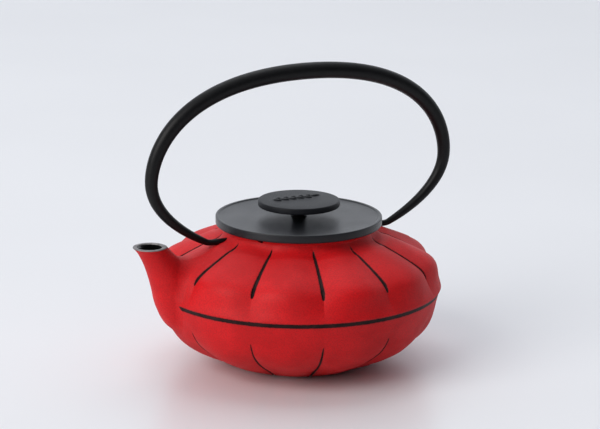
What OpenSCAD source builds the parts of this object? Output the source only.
// Cast iron teapot: lobed pot with spout, swinging hoop handle, flat lid with a disc knob, lift-out infuser.
// The origin is on the body's axis, on the surface that the foot ring rests on. The spout points along -X,
// the handle swings about a line along X, and +Z is up.

/* [Pot] */
// Diameter over the ridge around the belly
belly_d = 165.6; // [160:0.2:170]
// Height of that ridge above the table
belly_z = 45.3; // [43:0.1:47]
// Height of the mouth rim, where the lid sits
mouth_z = 81.4; // [80:0.1:83]
// Outside diameter of the round neck
neck_d = 88; // [86:0.5:90]
// Outside diameter of the foot ring
foot_d = 72; // [66:1:76]
// Thickness of the casting
wall = 3.2; // [2.8:0.1:3.6]
// Number of lobes around the body
lobes = 12; // [8:2:16]
// How far a lobe stands out above the belly ridge
upper_swell = 2.5; // [1:0.1:2.8]
// How deep the creases are cut above the belly ridge
upper_crease = 1.6; // [1:0.1:2]
// How deep the creases are cut below the belly ridge
lower_crease = 2.4; // [1:0.1:2.8]

/* [Spout] */
// Distance from the body's axis to the middle of the spout's mouth
spout_reach = 92.6; // [90:0.1:95]
// Height of the spout's mouth
spout_z = 77; // [75:0.5:79]
// Outside diameter of the spout at its mouth
spout_d = 19.2; // [18:0.1:21]
// Bore of the spout at its mouth
spout_bore = 13.6; // [12:0.1:14]

/* [Handle] */
// Height of the two pins that the handle swings on
pivot_z = 75.45; // [75:0.05:76]
// Diameter of those pins
pin_d = 3.5; // [3:0.1:4]
// Height of the hoop's centreline at the top
hoop_top_z = 172; // [165:0.1:180]
// Distance from the body's axis to the widest point of the hoop
hoop_reach = 92.6; // [90:0.1:96]
// Diameter of the hoop at the top
hoop_d = 9.5; // [8:0.1:11]
// Angle by which the hoop leans to the front while it stands up
hoop_lean = 4.5; // [0:0.5:6]

/* [Lid] */
// Diameter of the lid
lid_d = 96; // [94:0.5:98]
// Height of the lid's edge
lid_h = 4.7; // [4:0.1:5.5]
// Diameter of the knob's disc
knob_d = 47.2; // [40:0.2:52]
// Thickness of the knob's disc
knob_t = 3.6; // [3:0.1:4.5]
// Gap for the fingertips between lid and disc
finger_gap = 6.2; // [5:0.1:8]

/* [Infuser] */
// Outside diameter of the basket
basket_d = 68; // [64:0.5:69]
// Height of the basket's underside above the table
basket_z = 23; // [20:0.5:30]

/* [Hidden] */
$fn = 96;

red_paint = "#c81e24";
black_iron = "#26282b";
lid_grey = "#3c4147";
steel = "#c4c8cc";

belly_r = belly_d / 2;
neck_r = neck_d / 2;
foot_r = foot_d / 2;
foot_h = 1.2;                // the body's underside stands this far above the table
band_h = 2.6;                // height of the bare band under the belly ridge
band_inset = 1.2;            // how far that band slopes in
flare_z = mouth_z - 1.4;     // where the round neck begins
shoulder_r = neck_r + 8.2;
shoulder_z = belly_z + 29;

bore_r = 39.5;               // inside of the neck
seat_r = 41.9;               // recess that the infuser's rim lies in
seat_depth = 1.8;
lip_r = neck_r + 1;          // rounded lip around the mouth
lip_h = 2.2;
notch_r = 2;                 // steam notch in that lip
notch_angle = -144;

facets_per_lobe = 8;
body_facets = lobes * facets_per_lobe;
cut = 1;                     // how far a cutting shape runs past the solid
running_gap = 0.08;          // radial clearance of the handle's pins
pocket_r = pin_d / 2 + 1.2;  // pocket in the shoulder around each pin
pocket_x = neck_r + 7;
play = 0.05;                 // radial clearance between pieces that are assembled by hand

// A cubic Bezier curve, its tangent, and the normal on the tangent's right.
function bezier(p, t) =
    pow(1 - t, 3) * p[0] + 3 * pow(1 - t, 2) * t * p[1] + 3 * (1 - t) * t * t * p[2] + pow(t, 3) * p[3];
function bezier_tangent(p, t) =
    pow(1 - t, 2) * (p[1] - p[0]) + 2 * (1 - t) * t * (p[2] - p[1]) + t * t * (p[3] - p[2]);
function right_normal(v) = [v.y, -v.x] / norm(v);

// The body's outline in [radius, height], from the foot up to the mouth, in three curves.
under_curve = [[foot_r + 4, foot_h], [0.953 * belly_r, 0.32 * belly_z],
               [0.946 * belly_r, 0.55 * belly_z], [belly_r - band_inset, belly_z - band_h]];
over_curve = [[belly_r, belly_z], [belly_r - 8.7, belly_z + 16.3],
              [shoulder_r + 33, shoulder_z - 15.8], [shoulder_r, shoulder_z]];
flare_curve = [[shoulder_r, shoulder_z], [neck_r + 2.5, shoulder_z + 1],
               [neck_r, flare_z - 2.2], [neck_r, flare_z]];
under_steps = 11;
over_steps = 12;
flare_steps = 4;

// Each station holds [outline point, outward normal, swell outside the outline, crease inside the outline].
function station(curve, t, swell, crease) =
    [bezier(curve, t), right_normal(bezier_tangent(curve, t)), swell, crease];
crease_end = 0.87;           // the lower creases stop short of the belly band
function lower_crease_at(t) = t < crease_end ? lower_crease * sin(180 * pow(t / crease_end, 0.65)) : 0;
function upper_crease_at(t) = upper_crease * sin(90 * min(2 * t, 1));
function swell_at(t) = upper_swell * sin(180 * pow(t, 0.8));
under_stations = [for (i = [0:under_steps])
    let (t = i / under_steps) station(under_curve, t, 0, lower_crease_at(t))];
over_stations = [for (i = [0:over_steps])
    let (t = i / over_steps) station(over_curve, t, swell_at(t), upper_crease_at(t))];
flare_stations = [for (i = [1:flare_steps])
    let (t = i / flare_steps) station(flare_curve, t, 0, upper_crease * cos(90 * t))];
body_stations = concat(under_stations, over_stations, flare_stations);

// 1 on the crest of a lobe and 0 in the crease between two lobes.
function crest(angle) = abs(cos(lobes / 2 * angle));
function lobe_point(s, angle) =
    let (p = s[0] + s[1] * (s[2] * crest(angle) - s[3] * (1 - crest(angle))))
    [p.x * cos(angle), p.x * sin(angle), p.y];

// Triangles of a stack of closed rings with `n` points each, with flat ends on two more points.
function ring_faces(rings, n) = [for (i = [0:rings - 2], j = [0:n - 1])
    let (a = i * n + j, b = i * n + (j + 1) % n)
    each [[a, a + n, b], [b, a + n, b + n]]];
function end_faces(rings, n) = [for (j = [0:n - 1])
    let (k = (j + 1) % n, top = (rings - 1) * n)
    each [[rings * n, j, k], [rings * n + 1, top + k, top + j]]];
module ring_stack(rings) {
    n = len(rings[0]);
    count = len(rings);
    first = rings[0];
    last = rings[count - 1];
    ends = [(first[0] + first[n / 2]) / 2, (last[0] + last[n / 2]) / 2];
    polyhedron(concat([for (r = rings) each r], ends), concat(ring_faces(count, n), end_faces(count, n)));
}

// The spout's outline seen from the side: a lower curve and an upper curve, each from the root to the mouth.
spout_low = [[-67, 22], [-96, 27], [-85, 54], [-spout_reach - spout_d / 2, spout_z]];
spout_high = [[-60, 57], [-68, 64], [-76, 69], [-spout_reach + spout_d / 2, spout_z]];
spout_root_w = 38;
spout_steps = 12;
spout_facets = 24;
function spout_width(t) = spout_d + (spout_root_w - spout_d) * pow(1 - t, 1.5);
// A ring between a point of each curve: `w` is its width, and `shrink` draws it in all round.
function spout_ring(low, high, w, shrink) =
    let (middle = (low + high) / 2, half = (high - low) / 2, long = norm(half))
    [for (j = [0:spout_facets - 1])
        let (a = 360 * j / spout_facets, p = middle + half * (cos(a) * (long - shrink) / long))
        [p.x, (w / 2 - shrink) * sin(a), p.y]];
function spout_shrink(t) = spout_d / 2 - spout_bore / 2 + 1.6 * (1 - t);

module spout_outside() {
    ring_stack([for (i = [0:spout_steps])
        let (t = i / spout_steps)
        spout_ring(bezier(spout_low, t), bezier(spout_high, t), spout_width(t), 0)]);
}

module spout_inside() {
    rings = [for (i = [0:spout_steps])
        let (t = i / spout_steps)
        spout_ring(bezier(spout_low, t), bezier(spout_high, t), spout_width(t), spout_shrink(t))];
    above_mouth = [for (p = rings[spout_steps]) p + [0, 0, cut]];
    ring_stack(concat(rings, [above_mouth]));
}

module body_outside() {
    ring_stack([for (s = body_stations)
        [for (j = [0:body_facets - 1]) lobe_point(s, 360 * j / body_facets)]]);
}

// The hollow follows the outline, one wall's thickness from half the depth of the creases, up to the bore.
module body_hollow() {
    bore_z = flare_z - 4;
    inner = [for (s = body_stations)
        let (p = s[0] - s[1] * (wall + s[3] / 2))
        if (p.x > bore_r && p.y < bore_z) p];
    floor_z = foot_h + wall + 0.6;
    rotate_extrude()
        polygon(concat([[0, floor_z], [inner[0].x - 4, floor_z]], inner,
                       [[bore_r, bore_z], [bore_r, mouth_z + cut], [0, mouth_z + cut]]));
}

module mouth_lip() {
    chamfer = 0.6;
    rotate_extrude()
        polygon([[bore_r - cut, mouth_z - lip_h], [neck_r - 0.4, mouth_z - lip_h],
                 [lip_r, mouth_z - lip_h + 1], [lip_r, mouth_z - chamfer],
                 [lip_r - chamfer, mouth_z], [bore_r - cut, mouth_z]]);
}

module foot_ring() {
    width = 6;
    chamfer = 0.8;
    rotate_extrude()
        polygon([[foot_r - width, foot_h + 2], [foot_r - width, chamfer], [foot_r - width + chamfer, 0],
                 [foot_r - chamfer, 0], [foot_r, chamfer], [foot_r, foot_h + 2]]);
}

// Both pins of the handle lie on one line through the neck. A pocket around each lets the bend turn.
module pin_holes() {
    for (side = [0, 180])
        rotate([0, 0, side]) {
            translate([bore_r - cut, 0, pivot_z])
                rotate([0, 90, 0])
                    cylinder(r = pin_d / 2 + running_gap, h = pocket_x - bore_r + 2 * cut);
            translate([pocket_x, 0, pivot_z])
                rotate([0, 90, 0])
                    cylinder(r = pocket_r, h = 2 * pin_d + bend_x - pocket_x);
        }
}

module steam_notch() {
    rotate([0, 0, notch_angle])
        translate([neck_r - 4, 0, mouth_z])
            rotate([0, 90, 0])
                cylinder(r = notch_r, h = 8);
}

module pot_body() {
    color(red_paint)
        difference() {
            union() {
                body_outside();
                spout_outside();
                mouth_lip();
                foot_ring();
            }
            body_hollow();
            spout_inside();
            translate([0, 0, mouth_z - seat_depth])
                cylinder(r = seat_r, h = seat_depth + cut);
            pin_holes();
            steam_notch();
        }
}

// Half of the hoop's centreline in [x, z]: from the top to the widest point, and on to the bend at the pin.
bend_x = 57;
wide_z = 115;
top_curve = [[0, hoop_top_z], [80, hoop_top_z], [hoop_reach, wide_z + 16], [hoop_reach, wide_z]];
side_curve = [[hoop_reach, wide_z], [hoop_reach, wide_z - 21], [bend_x + 9.2, pivot_z + 4.35], [bend_x, pivot_z]];
hoop_steps = 14;
hoop_facets = 16;
pin_inner_x = 41;
bend_d = pin_d + 0.3;        // the rounded bend is a little thicker than the pin
function hoop_half(t) = t < 1 ? bezier(top_curve, t) : bezier(side_curve, t - 1);
function hoop_half_tangent(t) = t < 1 ? bezier_tangent(top_curve, t) : bezier_tangent(side_curve, t - 1);
// `u` runs from -2 at one bend over 0 at the top to 2 at the other bend.
function hoop_point(u) = let (p = hoop_half(abs(u))) [u < 0 ? -p.x : p.x, p.y];
function hoop_tangent(u) = let (v = hoop_half_tangent(abs(u))) u < 0 ? [v.x, -v.y] : v;
function hoop_radius(u) = hoop_d / 2 - (hoop_d - pin_d) / 2 * pow(abs(u) / 2, 1.45);
function hoop_ring(u) =
    let (p = hoop_point(u), n = right_normal(hoop_tangent(u)), r = hoop_radius(u))
    [for (j = [0:hoop_facets - 1])
        let (a = 360 * j / hoop_facets)
        [p.x + n.x * r * cos(a), r * sin(a), p.y + n.y * r * cos(a)]];

module handle_hoop() {
    color(black_iron)
        translate([0, 0, pivot_z])
            rotate([hoop_lean, 0, 0])
                translate([0, 0, -pivot_z]) {
                    ring_stack([for (i = [-2 * hoop_steps:2 * hoop_steps]) hoop_ring(i / hoop_steps)]);
                    for (side = [-1, 1]) {
                        translate([side * bend_x, 0, pivot_z])
                            sphere(d = bend_d, $fn = 32);
                        translate([side > 0 ? pin_inner_x : -bend_x, 0, pivot_z])
                            rotate([0, 90, 0])
                                cylinder(d = pin_d, h = bend_x - pin_inner_x);
                    }
                }
}

lid_r = lid_d / 2;
lid_top = mouth_z + lid_h;
lid_recess = 0.6;            // how far the lid's top lies below its raised rim
lid_face = lid_top - lid_recess;
lid_rim_w = 1.7;
lid_under = mouth_z + 1.2;   // underside of the plate inside the skirt
skirt_r = basket_d / 2 - 1.5;
skirt_w = 1.8;
skirt_h = 6;

stud_r = 2.5;                // threaded part of the stem
stem_r = 3.85;
collar_r = 5.75;
collar_h = 2;
disc_z = lid_face + finger_gap;
tenon_r = 2.8;
tenon_h = 2;
washer_r = 6.5;
washer_h = 1;
nut_h = 4;
nut_across = 8;

module lid_plate() {
    edge = 0.8;
    color(lid_grey)
        rotate_extrude()
            polygon([[stud_r + play, lid_under], [skirt_r - skirt_w, lid_under],
                     [skirt_r - skirt_w, mouth_z - skirt_h], [skirt_r - 0.5, mouth_z - skirt_h],
                     [skirt_r, mouth_z - skirt_h + 0.8], [skirt_r, mouth_z],
                     [lid_r - edge, mouth_z], [lid_r, mouth_z + edge],
                     [lid_r, lid_top - 0.4], [lid_r - 0.4, lid_top], [lid_r - lid_rim_w, lid_top],
                     [lid_r - lid_rim_w - lid_recess, lid_face], [stud_r + play, lid_face]]);
}

module knob_disc() {
    edge = 0.7;
    knob_r = knob_d / 2;
    top = disc_z + knob_t;
    color(lid_grey)
        rotate_extrude()
            polygon([[tenon_r + play, disc_z], [knob_r - edge, disc_z], [knob_r, disc_z + edge],
                     [knob_r, top - edge], [knob_r - edge, top], [0, top],
                     [0, disc_z + tenon_h], [tenon_r + play, disc_z + tenon_h]]);
}

// One turned post: tenon in the disc, collar under it, stem, shoulder on the lid and stud through the lid.
module knob_stem() {
    stud_end = lid_under - washer_h - nut_h - 0.8;
    color(black_iron)
        rotate_extrude()
            polygon([[0, stud_end], [stud_r, stud_end], [stud_r, lid_face],
                     [stem_r + 0.8, lid_face], [stem_r, lid_face + 0.8],
                     [stem_r, disc_z - collar_h - 0.8], [collar_r, disc_z - collar_h], [collar_r, disc_z],
                     [tenon_r, disc_z], [tenon_r, disc_z + tenon_h], [0, disc_z + tenon_h]]);
}

module knob_washer() {
    color(steel)
        translate([0, 0, lid_under - washer_h])
            difference() {
                cylinder(r = washer_r, h = washer_h);
                translate([0, 0, -cut])
                    cylinder(r = stud_r + play, h = washer_h + 2 * cut);
            }
}

module knob_nut() {
    corner_r = nut_across / 2 / cos(30);
    color(steel)
        translate([0, 0, lid_under - washer_h - nut_h])
            difference() {
                cylinder(r = corner_r, h = nut_h, $fn = 6);
                translate([0, 0, -cut])
                    cylinder(r = stud_r + play, h = nut_h + 2 * cut);
            }
}

sheet = 0.5;                 // thickness of the infuser's steel sheet
basket_r = basket_d / 2;
rim_z = mouth_z - seat_depth;
rim_h = 1.5;
collar_depth = 9;
band_z = basket_z + 7;

// A flat flange that lies in the seat, and the collar that hangs from it outside the wall.
module infuser_rim() {
    flange_r = seat_r - 0.4;
    color(steel)
        rotate_extrude()
            polygon([[basket_r - sheet, rim_z - collar_depth], [basket_r, rim_z - collar_depth],
                     [basket_r, rim_z], [flange_r - 0.4, rim_z], [flange_r, rim_z + 0.4],
                     [flange_r, rim_z + rim_h - 0.4], [flange_r - 0.4, rim_z + rim_h],
                     [basket_r - sheet, rim_z + rim_h]]);
}

module infuser_wall() {
    outer = basket_r - sheet - play;
    color(steel)
        translate([0, 0, basket_z + sheet])
            difference() {
                cylinder(r = outer, h = rim_z + rim_h - basket_z - sheet - 0.5);
                translate([0, 0, -cut])
                    cylinder(r = outer - sheet, h = mouth_z);
            }
}

// A ring around the wall's lower edge, turned in under it to carry the bottom.
module infuser_band() {
    turn_in = 5;
    color(steel)
        rotate_extrude()
            polygon([[basket_r - turn_in, basket_z], [basket_r, basket_z], [basket_r, band_z],
                     [basket_r - sheet, band_z], [basket_r - sheet, basket_z + sheet],
                     [basket_r - turn_in, basket_z + sheet]]);
}

module infuser_bottom() {
    color(steel)
        translate([0, 0, basket_z + sheet])
            cylinder(r = basket_r - 2 * sheet - 3 * play, h = sheet);
}

pot_body();
handle_hoop();
lid_plate();
knob_disc();
knob_stem();
knob_washer();
knob_nut();
infuser_rim();
infuser_wall();
infuser_band();
infuser_bottom();
